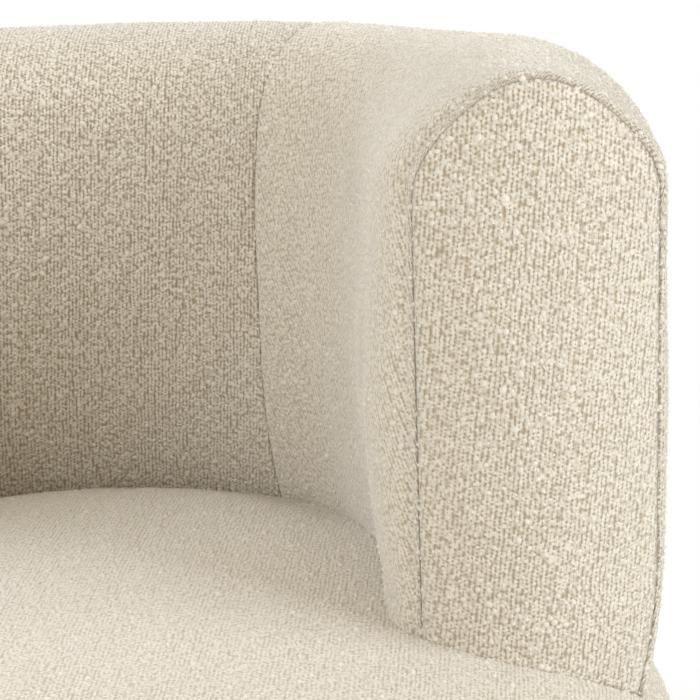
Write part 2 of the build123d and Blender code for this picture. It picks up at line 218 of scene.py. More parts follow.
def seat_profile(shape, along):
    """Radius and height of the seat's top at a distance along its cloth from the middle."""
    angle, centre, level = seat_turn(shape)
    dome, shoulder = shape.seat_dome, shape.seat_shoulder
    on_dome = np.minimum(along / dome, angle)
    on_shoulder = np.clip((along - dome * angle) / shoulder, 0, math.pi / 2 - angle) + angle
    below = np.maximum(along - dome * angle - shoulder * (math.pi / 2 - angle), 0)
    past = along > dome * angle
    radius = np.where(past, centre + shoulder * np.sin(on_shoulder), dome * np.sin(on_dome))
    height = np.where(past, level + shoulder * np.cos(on_shoulder) - below,
                      shape.seat_height - dome * (1 - np.cos(on_dome)))
    return radius, height


def seat_length(shape):
    """Length of the seat's cloth from the middle to its seam."""
    angle, _, level = seat_turn(shape)
    return shape.seat_dome * angle + shape.seat_shoulder * (math.pi / 2 - angle) + level - SEAT_LOW.z


def seat_surface(shape, radius):
    """Height of the seat's top at a radius."""
    angle, centre, level = seat_turn(shape)
    on_dome = shape.seat_height - shape.seat_dome + np.sqrt(shape.seat_dome ** 2 - radius ** 2)
    out = np.clip((radius - centre) / shape.seat_shoulder, -1, 1)
    on_shoulder = level + shape.seat_shoulder * np.sqrt(1 - out ** 2)
    return np.where(radius > shape.seat_dome * math.sin(angle), on_shoulder, on_dome)


def seat_sink(shape, points):
    """How far the wall presses the seat down at each point."""
    spread, held, fade, step = 0.045, 0.02, 0.06, 0.01
    wall = Stations(shape, -PAST, PAST, step)
    x, y = wall.plan(wall.inner(wall.foot(wall.inner, wall.sink)))
    turn = np.arctan2(x, y)
    angle, radius = np.arctan2(points[..., 0], points[..., 1]), np.hypot(points[..., 0], points[..., 1])
    past = radius - np.interp(angle, turn, np.hypot(x, y))
    depth = np.interp(angle, turn, wall.sink, left=0, right=0)
    return depth * near(np.minimum(past, 0), spread) * (1 - ease((past - held) / fade))


def seam_place(shape):
    """Where the seam between the back and an arm stands, along the middle of the wall."""
    return BACK_SEAM * (shape.wall_inner + shape.wall_outer) / 2


class Stations:
    """Upright cuts through the wall between two places along it, with the rolled lip at each arm's end.

    A fade is the angle along the wall where it starts and the angle that it takes, in degrees.
    """

    samples = 90, 120, 80       # points on the inside, the top and the outside, before they are evened out
    inner_tuck = 0.52, 0.383    # height below which the inside draws back, and the radius of its arc
    inner_tuck_fade = 28, 32    # how that goes along the wall
    outer_tuck = 0.46, 0.241    # the same for the outside
    front_reach = 0.09          # how far back from the arm's front its own form is felt
    front_tuck = 0.4            # share of the outer tuck that is lost there
    front_pinch = 0.005         # how far the arch draws in there, half way up each side
    fill_fade = 38, 48          # how the arm's filling comes in along the wall
    fill_taper = 0.139          # how fast the arm's filling thins towards the front
    belly = 0.55, 0.09          # height and spread of the arm's belly
    top_rise = 0.009, 0.12      # how far the arm's top rises, and how far back from the front
    front_rise = 0.002          # how far it rises at the front
    sink_fade = 37, 37          # how the dip in the seat goes along the wall
    lean = 0.045, 30, 20        # most that the wall's top turns towards the arms, where, and its spread
    lean_height = 0.62, 0.15    # height where the lean starts, and the height that it takes
    corner_points = 16          # stations round the corner at the front of the arm's inside
    lip_points = 6              # stations over the lip
    lip_turn = 85               # degrees that the lip turns

    def __init__(self, shape, start, end, step):
        self.shape = shape
        middle = (shape.wall_inner + shape.wall_outer) / 2
        self.arc = middle * shape.wall_sweep
        base = shape.wall_front + shape.crown + shape.lip
        self.end = self.arc + (middle * math.cos(shape.wall_sweep) - base) / math.sin(shape.wall_sweep)
        even = self.end - shape.roll
        first, last = max(start, -even), min(end, even)
        places = np.linspace(first, last, max(int(round((last - first) / step)), 2) + 1)
        corner = even + shape.roll * np.sin(np.linspace(0, math.pi / 2, self.corner_points))[1:]
        lip = np.radians(np.linspace(0, self.lip_turn, self.lip_points))[1:]
        over = np.append(corner, np.full(len(lip), self.end))
        over_turns = np.append(np.zeros(len(corner)), lip)
        turns = np.zeros(len(places))
        if end > self.end:
            places, turns = np.append(places, over), np.append(turns, over_turns)
        if start < -self.end:
            places, turns = np.append(-over[::-1], places), np.append(over_turns[::-1], turns)
        self.places = places
        self.side = np.where(places < 0, -1.0, 1.0)
        self.angle = np.minimum(np.abs(places) / middle, shape.wall_sweep)
        self.run = np.maximum(np.abs(places) - self.arc, 0)
        self.share = self.run / (self.end - self.arc)
        self.front = base - shape.lip * np.sin(turns)
        self.inset = shape.lip * (1 - np.cos(turns))
        self.reach = self.end - np.abs(places)
        self.near_front = near(self.reach, self.front_reach)
        self.corner = np.sqrt(1 - (1 - np.clip(self.reach / shape.roll, 0, 1)) ** 2)
        rise, back = self.top_rise
        self.rise = rise * self.corner * near(self.reach - back, back) + self.front_rise * (1 - self.corner)
        self.sink = shape.dip * (1 - self.faded(*self.sink_fade))

    def faded(self, start, over):
        """A share that grows from 0 to 1 along the wall."""
        return ease((np.degrees(self.angle) - start) / over)

    def plan(self, radius):
        """X and Y at a radius of the wall, one value or one row of values for each station."""
        grow = (slice(None), None) if np.ndim(radius) == 2 else slice(None)
        angle, side = self.angle[grow], self.side[grow]
        half = (self.shape.wall_outer - self.shape.wall_inner) / 2
        outward = np.clip((radius - self.shape.wall_inner) / half - 1, 0, 1)
        front = self.front[grow] + self.shape.setback * outward ** 2
        # Only the arms' straight ends have a run, so the least angle never shows
        run = self.share[grow] * (radius * np.cos(angle) - front) / np.sin(np.maximum(angle, 0.5))
        x, y = radius * np.sin(angle) + run * np.cos(angle), radius * np.cos(angle) - run * np.sin(angle)
        return side * x, y

    def fullness(self, height):
        """How far the arm's filling stands in from the round of the wall."""
        shape, (level, spread) = self.shape, self.belly
        side = shape.arm_full + shape.arm_belly * near(height - level, spread) - self.fill_taper * self.run
        return self.faded(*self.fill_fade) * (shape.swell + (side - shape.swell) * self.corner)

    def inner(self, height):
        """Radius of the wall's inside at a height, for each station."""
        drawn = tuck(height, *self.inner_tuck) * (1 - self.faded(*self.inner_tuck_fade))
        return self.shape.wall_inner + drawn - self.fullness(height) + self.inset

    def outer(self, height):
        """Radius of the wall's outside at a height, for each station."""
        drawn = tuck(height, *self.outer_tuck) * (1 - self.front_tuck * self.near_front)
        return self.shape.wall_outer - drawn - self.inset

    def foot(self, side, dip):
        """Height at which one side of the wall meets the seat, from a guess that is mended each round."""
        height = np.full(len(self.places), 0.40)
        for _ in range(30):
            x, y = self.plan(side(height))
            height = 0.5 * height + 0.5 * (seat_surface(self.shape, np.hypot(x, y)) - dip)
        return height

    def section(self, count, first, last):
        """Evenly spaced points on the wall's section, from inner foot or seam to seam or outer foot."""
        shape = self.shape
        half = (shape.wall_outer - shape.wall_inner) / 2
        middle = shape.wall_inner + half
        level = shape.wall_top - half
        inside, top, outside = self.samples
        radii, heights = [], []
        start = np.full(len(self.places), shape.outer_seam)
        stop = self.foot(self.outer, OUTER_FOOT) if last == "outer foot" else start
        if first == "inner foot":
            inner_foot = self.foot(self.inner, self.sink + INNER_FOOT)
            for share in np.linspace(0, 1, inside, endpoint=False):
                height = inner_foot + share * (level - inner_foot)
                heights.append(height)
                radii.append(self.inner(height))
            full = self.fullness(level)
            for bend in np.linspace(0, math.pi, top, endpoint=False):
                size = half - self.inset - self.front_pinch * math.sin(2 * bend) ** 2 * self.near_front
                radii.append(middle - size * math.cos(bend) - full * (1 + math.cos(bend)) / 2)
                heights.append(level + size * math.sin(bend) + self.rise * math.sin(bend) ** 2)
            start = np.full(len(self.places), level)
        for share in np.linspace(0, 1, outside):
            height = start + share * (stop - start)
            heights.append(height)
            radii.append(self.outer(height))
        spaced = []
        for radius, height in zip(np.array(radii).T, np.array(heights).T):
            along = np.append(0, np.cumsum(np.hypot(np.diff(radius), np.diff(height))))
            even = np.linspace(0, along[-1], count)
            spaced.append((np.interp(even, along, radius), np.interp(even, along, height), even))
        return np.array(spaced).swapaxes(0, 1)

    def grid(self, count, first, last):
        """Points and flat cloth places of a cover over these stations."""
        radius, height, along = self.section(count, first, last)
        x, y = self.plan(radius)
        most, where, spread = self.lean
        start, over = self.lean_height
        turn = most * ease((height - start) / over) * near(np.degrees(self.angle)[:, None] - where, spread)
        turn = turn * self.side[:, None]
        x, y = x * np.cos(turn) + y * np.sin(turn), y * np.cos(turn) - x * np.sin(turn)
        points = np.stack([x, y, height], -1)
        across = np.cumsum(np.linalg.norm(np.diff(points, axis=0, prepend=points[:1]), axis=-1), 0)
        across = across - across[np.argmin(np.abs(self.places))]
        return points, np.stack([across, along], -1)


# Grids of points that make a cover

def normals_of(points, wrap=False):
    """Outward unit normals of a grid of points."""
    if wrap:
        across = np.roll(points, -1, 0) - np.roll(points, 1, 0)
    else:
        across = np.gradient(points, axis=0)
    normal = np.cross(across, np.gradient(points, axis=1))
    return normal / np.maximum(np.linalg.norm(normal, axis=-1, keepdims=True), 1e-12)


def edge_distance(points, borders):
    """Distance over the cover from the nearest sewn border, out of start, end, low and high."""
    along_u = np.linalg.norm(np.diff(points, axis=0), axis=-1)
    along_v = np.linalg.norm(np.diff(points, axis=1), axis=-1)
    from_start = np.concatenate([np.zeros((1, points.shape[1])), np.cumsum(along_u, 0)])
    from_low = np.concatenate([np.zeros((points.shape[0], 1)), np.cumsum(along_v, 1)], 1)
    choices = {"start": from_start, "end": from_start[-1:] - from_start,
               "low": from_low, "high": from_low[:, -1:] - from_low}
    return np.minimum.reduce([choices[border] for border in borders])


def lumps(flat, size, seed):
    """Smooth random heights from -1 to 1 over the flat cloth."""
    cells = 256
    lattice = np.random.default_rng(seed).uniform(-1, 1, (cells, cells))
    place = flat / size + cells / 2
    cell = np.floor(place).astype(int)
    across, up = np.moveaxis(ease(place - cell), -1, 0)
    (left, low), (right, high) = np.moveaxis(cell % cells, -1, 0), np.moveaxis((cell + 1) % cells, -1, 0)
    below = lattice[left, low] * (1 - across) + lattice[right, low] * across
    above = lattice[left, high] * (1 - across) + lattice[right, high] * across
    return below * (1 - up) + above * up


def stretch_to(values, rows, columns):
    """A coarse grid of values spread smoothly over a finer one."""
    for axis, size in ((0, rows), (1, columns)):
        old = np.linspace(0, 1, values.shape[axis])
        new = np.linspace(0, 1, size)
        values = np.apply_along_axis(lambda line: np.interp(new, old, line), axis, values)
    return values


def plain_object(name, verts, faces):
    """A new mesh object at the origin."""
    mesh = bpy.data.meshes.new(name)
    mesh.from_pydata(verts.tolist() if isinstance(verts, np.ndarray) else verts, [], faces)
    mesh.update()
    obj = bpy.data.objects.new(name, mesh)
    bpy.context.scene.collection.objects.link(obj)
    return obj


def grid_quads(rows, columns, wrap=False):
    """Faces of a grid, wound so that the normal is along rows crossed with along columns."""
    index = np.arange(rows * columns).reshape(rows, columns)
    if wrap:
        index = np.concatenate([index, index[:1]])
    return np.stack([index[:-1, :-1], index[1:, :-1], index[1:, 1:], index[:-1, 1:]], -1).reshape(-1, 4)


def thinned(count, step, wrap=False):
    """Every few of a row of points, and the last one too unless the row closes on itself."""
    return np.unique(np.append(np.arange(0, count, step), [] if wrap else count - 1)).astype(int)


def settle(points, cap, wrap=False):
    """The cover pushed out by its filling: a cloth run on a coarse copy whose borders are sewn down."""
    coarse = points[thinned(len(points), 3, wrap)][:, thinned(points.shape[1], 3)]
    cover = plain_object("settling", coarse.reshape(-1, 3), grid_quads(*coarse.shape[:2], wrap).tolist())
    held = np.zeros(coarse.shape[:2], bool)
    held[:, [0, -1]] = True
    if not wrap:
        held[[0, -1]] = True
    sewn = cover.vertex_groups.new(name="sewn")
    sewn.add(np.flatnonzero(held).tolist(), 1.0, "REPLACE")
    cloth = cover.modifiers.new("Cloth", "CLOTH")
    for key, value in RUN.items():
        setattr(cloth.settings, key, value)
    cloth.settings.effector_weights.gravity = 0
    cloth.collision_settings.use_collision = False
    cloth.point_cache.frame_start, cloth.point_cache.frame_end = 1, RUN_FRAMES
    for number in range(1, RUN_FRAMES + 1):
        bpy.context.scene.frame_set(number)
    settled = cover.evaluated_get(bpy.context.evaluated_depsgraph_get()).to_mesh()
    moved = np.empty(coarse.size)
    settled.vertices.foreach_get("co", moved)
    mesh = cover.data
    bpy.data.objects.remove(cover)
    bpy.data.meshes.remove(mesh)
    bpy.context.scene.frame_set(1)
    move = moved.reshape(coarse.shape) - coarse
    size = np.linalg.norm(move, axis=-1, keepdims=True)
    move *= cap * np.tanh(size / cap) / np.maximum(size, 1e-9)
    # Smoothed, so that the coarse copy leaves no dents
    for _ in range(6):
        round_rows = np.pad(move, ((1, 1), (0, 0), (0, 0)), mode="wrap" if wrap else "edge")
        move = (round_rows[:-2] + 2 * move + round_rows[2:]) / 4
        round_columns = np.pad(move, ((0, 0), (1, 1), (0, 0)), mode="edge")
        move = (round_columns[:, :-2] + 2 * move + round_columns[:, 2:]) / 4
        move[held] = 0
    if wrap:
        move = np.concatenate([move, move[:1]])
        return points + stretch_to(move, len(points) + 1, points.shape[1])[:-1]
    return points + stretch_to(move, *points.shape[:2])


def closed_cover(name, points, flat, depth, wrap=False, step=6):
    """A closed cover: the grid outside, a coarser backing a little way in, and a rim that joins them."""
    count = points.shape[:2]
    rows, columns = thinned(count[0], step, wrap), thinned(count[1], step)
    normal = normals_of(points, wrap)
    backing = (points - depth * normal)[rows][:, columns]
    outer = np.arange(count[0] * count[1]).reshape(count)
    inner = outer.size + np.arange(backing.shape[0] * backing.shape[1]).reshape(backing.shape[:2])
    faces = grid_quads(*count, wrap).tolist()
    shown = len(faces)
    back = inner.reshape(-1)[grid_quads(*backing.shape[:2], wrap)][:, ::-1]
    faces += back.tolist()
    ends = np.append(rows, count[0]) if wrap else rows
    for k in range(len(ends) - 1):
        line = np.arange(ends[k], ends[k + 1] + 1) % count[0]
        pair = inner[[k, (k + 1) % len(rows)]]
        faces.append(outer[line[::-1], 0].tolist() + pair[:, 0].tolist())
        faces.append(outer[line, -1].tolist() + pair[::-1, -1].tolist())
    if not wrap:
        for k in range(len(columns) - 1):
            line = np.arange(columns[k], columns[k + 1] + 1)
            faces.append(outer[0, line].tolist() + inner[0, [k + 1, k]].tolist())
            faces.append(outer[-1, line[::-1]].tolist() + inner[-1, [k, k + 1]].tolist())
    obj = plain_object(name, np.concatenate([points.reshape(-1, 3), backing.reshape(-1, 3)]), faces)
    mesh = obj.data
    mesh.polygons.foreach_set("use_smooth", np.arange(len(faces)) < shown)
    place = np.concatenate([flat.reshape(-1, 2), flat[rows][:, columns].reshape(-1, 2)])
    corner = np.empty(len(mesh.loops), np.int32)
    mesh.loops.foreach_get("vertex_index", corner)
    place = place[corner]
    # The strip that closes a ring runs on over the cloth, past the first row's place
    if wrap:
        closing = np.arange(shown - count[1] + 1, shown) * 4
        for spot in (closing + 1, closing + 2):
            place[spot] += flat[-1, 0] + flat[1, 0] - 2 * flat[0, 0]
    mesh.uv_layers.new(name="cloth").data.foreach_set("uv", place.astype(np.float32).ravel())
    outside = mesh.attributes.new("outside", "BOOLEAN", "FACE")
    outside.data.foreach_set("value", np.arange(len(faces)) < shown)
    return obj


def joined(parts, name):
    """Several objects made into one."""
    with bpy.context.temp_override(active_object=parts[0], selected_editable_objects=parts):
        bpy.ops.object.join()
    parts[0].name = parts[0].data.name = name
    return parts[0]


def disc_grid(half):
    """A square grid bent into a round disc of radius 1, and how far out each point is."""
    a, b = np.meshgrid(np.linspace(-1, 1, 2 * half + 1), np.linspace(-1, 1, 2 * half + 1), indexing="ij")
    wide = np.abs(a) > np.abs(b)
    reach = np.maximum(np.abs(a), np.abs(b))
    main, minor = np.where(wide, a, b), np.where(wide, b, a)
    turn = math.pi / 4 * minor / np.where(main == 0, 1, main)
    turn = np.where(wide, turn, math.pi / 2 - turn)
    return (np.sign(main) * reach)[..., None] * np.stack([np.cos(turn), np.sin(turn)], -1), reach


def turned(flat, degrees):
    """The flat cloth turned, so that its weave runs at a slant on the piece."""
    angle = math.radians(degrees)
    turn = np.array([[math.cos(angle), -math.sin(angle)], [math.sin(angle), math.cos(angle)]])
    return flat @ turn.T


def weave_strength_inside(inside):
    """How much of the weave, with its painted shade, shows from the inner foot over the top to the outer
    seam.
    """
    return inside + (COARSE - inside) * ease((np.linspace(0, 1, ROWS) - 0.5) / 0.4)


def dress(context, name, points, flat, seam, front, nodes, seed, coarse, wrap=False):
    """Finishes one boucle cover and puts it on the frame.

    seam and front are the distances to the cover's own seams and to the seam round the arm's front.
    """
    shape, cloth = context.scene.armchair_shape, context.scene.armchair_cloth
    normal = normals_of(points, wrap)
    points = settle(points, shape.plump, wrap)
    nearest = np.minimum(seam, front)
    rise = sum(height * lumps(flat, size, seed + k) for k, (height, size) in enumerate(UNEVEN))
    rise *= 1 - near(nearest, 0.004)
    rise -= GROOVE[0] * near(seam, GROOVE[1]) * (1 - near(front, 0.006))
    points = points + rise[..., None] * normal
    points[..., 1] += FRONT_GROOVE[0] * near(front, FRONT_GROOVE[1])
    obj = closed_cover(name, points, flat, BACKING, wrap)
    weave = np.broadcast_to(coarse, seam.shape)
    for key, shown, behind in (("seam", nearest, 0), ("coarse", weave, COARSE)):
        carried = np.full(len(obj.data.vertices), behind, np.float32)
        carried[:seam.size] = shown.ravel()
        obj.data.attributes.new(key, "FLOAT", "POINT").data.foreach_set("value", carried)
    obj.data.materials.append(boucle_cloth(cloth))
    add_nubs(obj, cloth, seed)
    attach(obj, "root")
    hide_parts(*nodes)


# Materials

class Value:
    """A number from a node. Arithmetic with it makes Math nodes."""

    def __init__(self, socket):
        self.socket = socket

    def maths(self, operation, second=0.0, clamp=False):
        """The result of a Math node."""
        settings = {"operation": operation, "use_clamp": clamp}
        return Value(node(self.socket.id_data, "ShaderNodeMath", settings, i0=self, i1=second).outputs[0])

    def __add__(self, other):
        return self.maths("ADD", other)

    def __sub__(self, other):
        return self.maths("SUBTRACT", other)

    def __mul__(self, other):
        return self.maths("MULTIPLY", other)

    def __truediv__(self, other):
        return self.maths("DIVIDE", other)


def new_material(name):
    """A new material, and its node tree with nothing in it."""
    material = bpy.data.materials.new(name)
    material.use_nodes = True
    material.node_tree.nodes.clear()
    return material, material.node_tree


def new_group(name, kind, inputs, outputs):
    """A new node group with its sockets, and what comes in and goes out."""
    tree = bpy.data.node_groups.new(name, kind)
    for in_out, sockets in (("INPUT", inputs), ("OUTPUT", outputs)):
        for label, socket in sockets.items():
            tree.interface.new_socket(label, in_out=in_out, socket_type="NodeSocket" + socket)
    return tree, named(tree.nodes.new("NodeGroupInput")), tree.nodes.new("NodeGroupOutput").inputs


def node(tree, kind, settings=None, **inputs):
    """A new node with its settings, and its inputs set or linked by name, or by place as i0, i1 and so on."""
    made = tree.nodes.new(kind)
    for key, value in (settings or {}).items():
        setattr(made, key, value)
    for key, value in inputs.items():
        place = int(key[1:]) if key[0] == "i" and key[1:].isdigit() else key.replace("_", " ")
        if isinstance(value, Value):
            value = value.socket
        elif isinstance(value, bpy.types.Node):
            value = value.outputs[0]
        if isinstance(value, bpy.types.NodeSocket):
            tree.links.new(value, made.inputs[place])
        else:
            made.inputs[place].default_value = value
    return made


def named(made):
    """A node's outputs by name."""
    return {socket.name: Value(socket) for socket in made.outputs}


def mixed(tree, share, first, second):
    """A mix of two colours."""
    first, second = ((*tone, 1) if isinstance(tone, (tuple, list)) else tone for tone in (first, second))
    return node(tree, "ShaderNodeMix", {"data_type": "RGBA"}, i0=share, i6=first, i7=second).outputs[2]


def ramped(tree, value, low, high):
    """A value eased from 0 at low to 1 at high."""
    return Value(node(tree, "ShaderNodeMapRange", {"interpolation_type": "SMOOTHSTEP"},
                      Value=value, From_Min=low, From_Max=high).outputs[0])


def noise(tree, vector, scale, detail=2.0):
    """The value of a noise texture."""
    return Value(node(tree, "ShaderNodeTexNoise", Vector=vector, Scale=scale, Detail=detail).outputs[0])


def apart(tree, vector):
    """The X, Y and Z of a vector."""
    return named(node(tree, "ShaderNodeSeparateXYZ", Vector=vector)).values()


def attribute(tree, name):
    """A value that the mesh carries."""
    return Value(node(tree, "ShaderNodeAttribute", {"attribute_name": name}).outputs["Fac"])


def object_place(tree):
    """Places in the piece's own axes."""
    return node(tree, "ShaderNodeTexCoord").outputs["Object"]


def cloth_place(tree):
    """Places on the flat cloth."""
    return node(tree, "ShaderNodeUVMap", {"uv_map": "cloth"}).outputs[0]


def seen(tree):
    """1 for what the camera sees, also in a mirror or through glass, and 0 for light on a piece."""
    rays = named(node(tree, "ShaderNodeLightPath"))
    straight = rays["Is Camera Ray"].maths("ADD", rays["Is Glossy Ray"], clamp=True)
    return straight.maths("ADD", rays["Is Transmission Ray"], clamp=True)


def surface(tree, colour, rough, height, relief, strength, **more):
    """Ends a material in a Principled shader with its relief."""
    bump = node(tree, "ShaderNodeBump", Strength=strength, Distance=relief, Height=height)
    shader = node(tree, "ShaderNodeBsdfPrincipled", Base_Color=colour, Roughness=rough, Normal=bump, **more)
    node(tree, "ShaderNodeOutputMaterial", Surface=shader)


def yarn_surface(tree, colour, fibre, height, relief):
    """Ends a boucle material, which is matt with a soft sheen."""
    surface(tree, colour, fibre * -0.10 + 0.98, height, relief, 1.0,
            Sheen_Weight=1.0, Sheen_Roughness=0.5, Specular_IOR_Level=0.1)


def weave_group():
    """Staggered rows of yarn loops over flat cloth: their height, the shade of each loop (painted shade
    towards its edge, with a random tone) and its fibres.
    """
    tree, start, end = new_group("yarn loops", "ShaderNodeTree",
                                 {"Flat": "Vector", "Column": "Float", "Row": "Float"},
                                 {"Height": "Float", "Shade": "Float", "Fibre": "Float"})
    flat = start["Flat"]
    wander = node(tree, "ShaderNodeTexNoise", {"noise_dimensions": "2D"}, Vector=flat, Scale=85.0, Detail=2.0)
    shift = node(tree, "ShaderNodeVectorMath", {"operation": "MULTIPLY_ADD"},
                 i0=wander.outputs["Color"], i1=(0.0020, 0.0020, 0), i2=flat)
    x, y, _ = apart(tree, shift)
    across = x / start["Column"]
    column = across.maths("FLOOR")
    up = y / start["Row"] + column.maths("PINGPONG", 1.0) * 0.5
    row = up.maths("FLOOR")
    cell = node(tree, "ShaderNodeCombineXYZ", X=column, Y=row)
    chance = named(node(tree, "ShaderNodeTexWhiteNoise", {"noise_dimensions": "2D"}, Vector=cell))
    drawn = named(node(tree, "ShaderNodeSeparateColor", Color=chance["Color"]))
    # A pit in each cell, a little off its middle and deeper in some patches
    beside = (across - column - 0.5) / 0.21 + (drawn["Red"] - 0.5) * 0.4
    above = (up - row - 0.5) / 0.38 + (drawn["Green"] - 0.5) * 0.5
    pit = ((beside * beside + above * above) * -1.0).maths("EXPONENT")
    pit = pit * (ramped(tree, noise(tree, flat, 150.0), 0.28, 0.56) * 0.55 + 0.45)
    strand = node(tree, "ShaderNodeTexVoronoi", {"voronoi_dimensions": "2D", "feature": "SMOOTH_F1"},
                  Vector=shift, Scale=330.0, Smoothness=0.35, Randomness=0.9)
    loop = named(strand)["Distance"] * -0.85 + 1.0
    fibre = noise(tree, flat, 1500.0)
    height = (fibre - 0.5) * 0.30 + loop + pit * -0.75
    # Painted shade: each loop is darker towards its edge, mixed with a random tone for each cell
    shade = chance["Value"] * 0.3 + loop * 0.7
    for label, value in (("Height", height), ("Shade", shade), ("Fibre", fibre)):
        tree.links.new(value.socket, end[label])
    return tree


def boucle_cloth(cloth):
    """Woven boucle: cream loops with brown ground between them; the brown ground and each loop's darker edge
    are painted shade.
    """
    if "boucle_cloth" in bpy.data.materials:
        return bpy.data.materials["boucle_cloth"]
    material, tree = new_material("boucle_cloth")
    place, coarse = cloth_place(tree), attribute(tree, "coarse")
    weave = named(node(tree, "ShaderNodeGroup", {"node_tree": weave_group()},
                        Flat=place, Column=cloth.column, Row=cloth.row))
    # Painted shade: the low places of the weave take the gap colour, shade painted into the hollows between
    # the loops
    clear_of_gap_shade = (ramped(tree, weave["Height"], 0.10, 0.62) - 1.0) * coarse + 1.0
    shade = noise(tree, place, 28.0, 3.0) * 0.14 + weave["Shade"]
    tone = (ramped(tree, shade, 0.50, 0.96) - 0.7) * coarse + 0.7
    # Painted shade: loops darken towards their edges, where neighbouring loops shade them
    loop_edge_shade = [part * share for part, share in zip(cloth.loop_colour, (0.68, 0.66, 0.62))]
    loop = mixed(tree, tone, loop_edge_shade, [0.97 * part for part in cloth.loop_colour])
    # Painted shade: the ground's gap colour shows in a ragged line along the seams, standing in for the shade
    # in the seam's groove
    ragged = noise(tree, place, 260.0) * -0.0016 + attribute(tree, "seam")
    clear_of_gap_shade = clear_of_gap_shade * ramped(tree, ragged, -0.0014, 0.0003)
    colour = mixed(tree, clear_of_gap_shade, tuple(cloth.gap_shade_colour), loop)
    yarn_surface(tree, colour, weave["Fibre"], coarse * weave["Height"], cloth.relief)
    return material


def boucle_nub(cloth):
    """The large loose loops, a little lighter than the rest."""
    material, tree = new_material("boucle_nub")
    fibre = noise(tree, object_place(tree), 1100.0, 3.0)
    dark, light = ([min(1, share * part) for part in cloth.loop_colour] for share in (0.84, 1.06))
    colour = mixed(tree, fibre * 0.5 + attribute(tree, "tone") * 0.5, dark, light)
    yarn_surface(tree, colour, fibre, fibre, 0.0006)
    return material


def grain_group():
    """Wood grain along X: its streaks and its pores."""
    if "wood grain" in bpy.data.node_groups:
        return bpy.data.node_groups["wood grain"]
    tree, start, end = new_group("wood grain", "ShaderNodeTree", {"Place": "Vector", "Fineness": "Float"},
                                 {"Streak": "Float", "Pore": "Float"})
    drawn, thin = (
        node(tree, "ShaderNodeVectorMath", {"operation": "MULTIPLY"}, i0=start["Place"], i1=stretch)
        for stretch in ((1, 14, 14), (60, 900, 900)))
    wave = node(tree, "ShaderNodeTexNoise", Vector=drawn, Scale=start["Fineness"], Detail=5.0, Distortion=0.6)
    tree.links.new(wave.outputs[0], end["Streak"])
    tree.links.new(ramped(tree, noise(tree, thin, 1.0), 0.58, 0.72).socket, end["Pore"])
    return tree


def wood(name, light, dark, rough, plies):
    """Grained wood, with the edges of its plies where it has them."""
    material, tree = new_material(name)
    place = object_place(tree)
    grain = named(node(tree, "ShaderNodeGroup", {"node_tree": grain_group()}, Place=place, Fineness=9.0))
    share = grain["Pore"] * 0.35 + grain["Streak"]
    if plies:
        _, _, height = apart(tree, place)
        _, _, facing_up = apart(tree, node(tree, "ShaderNodeNewGeometry").outputs["Normal"])
        layer = (height / 0.0015).maths("PINGPONG", 1.0)
        share = layer * ramped(tree, facing_up.maths("ABSOLUTE"), 0.8, 0.2) * 0.35 + share
    surface(tree, mixed(tree, share, light, dark), grain["Streak"] * 0.25 + rough, share, 0.0003, 0.6)
    return material


def speckled(name, light, dark, scale, rough, relief, metallic=0.0):
    """A surface of fine grains: moulded plastic, zinc, felt or spunbond cloth."""
    material, tree = new_material(name)
    place = object_place(tree)
    grains, broad = noise(tree, place, scale, 4.0), noise(tree, place, scale / 25, 3.0)
    share = broad * 0.5 + grains * 0.5
    colour = mixed(tree, ramped(tree, share, 0.32, 0.68), dark, light)
    surface(tree, colour, share * 0.3 + (rough - 0.15), grains, relief, 0.8, Metallic=metallic)
    return material


def strap_cloth():
    """Woven elastic webbing: ribs across the strap and a pale line near each edge."""
    material, tree = new_material("strap_cloth")
    across, along, _ = apart(tree, cloth_place(tree))
    height = (along * 2200.0).maths("SINE") * (across * 1500.0).maths("SINE")
    from_line = (across.maths("ABSOLUTE") - 0.022).maths("ABSOLUTE")
    # Painted shade and highlight: the ribs are lighter on their tops and darker in their hollows
    ground = mixed(tree, height * 0.5 + 0.5, (0.012, 0.012, 0.013), (0.035, 0.035, 0.037))
    colour = mixed(tree, ramped(tree, from_line, 0.0018, 0.0010), ground, (0.42, 0.38, 0.30))
    surface(tree, colour, height * 0.08 + 0.82, height, 0.0004, 0.7)
    return material


# Geometry Nodes

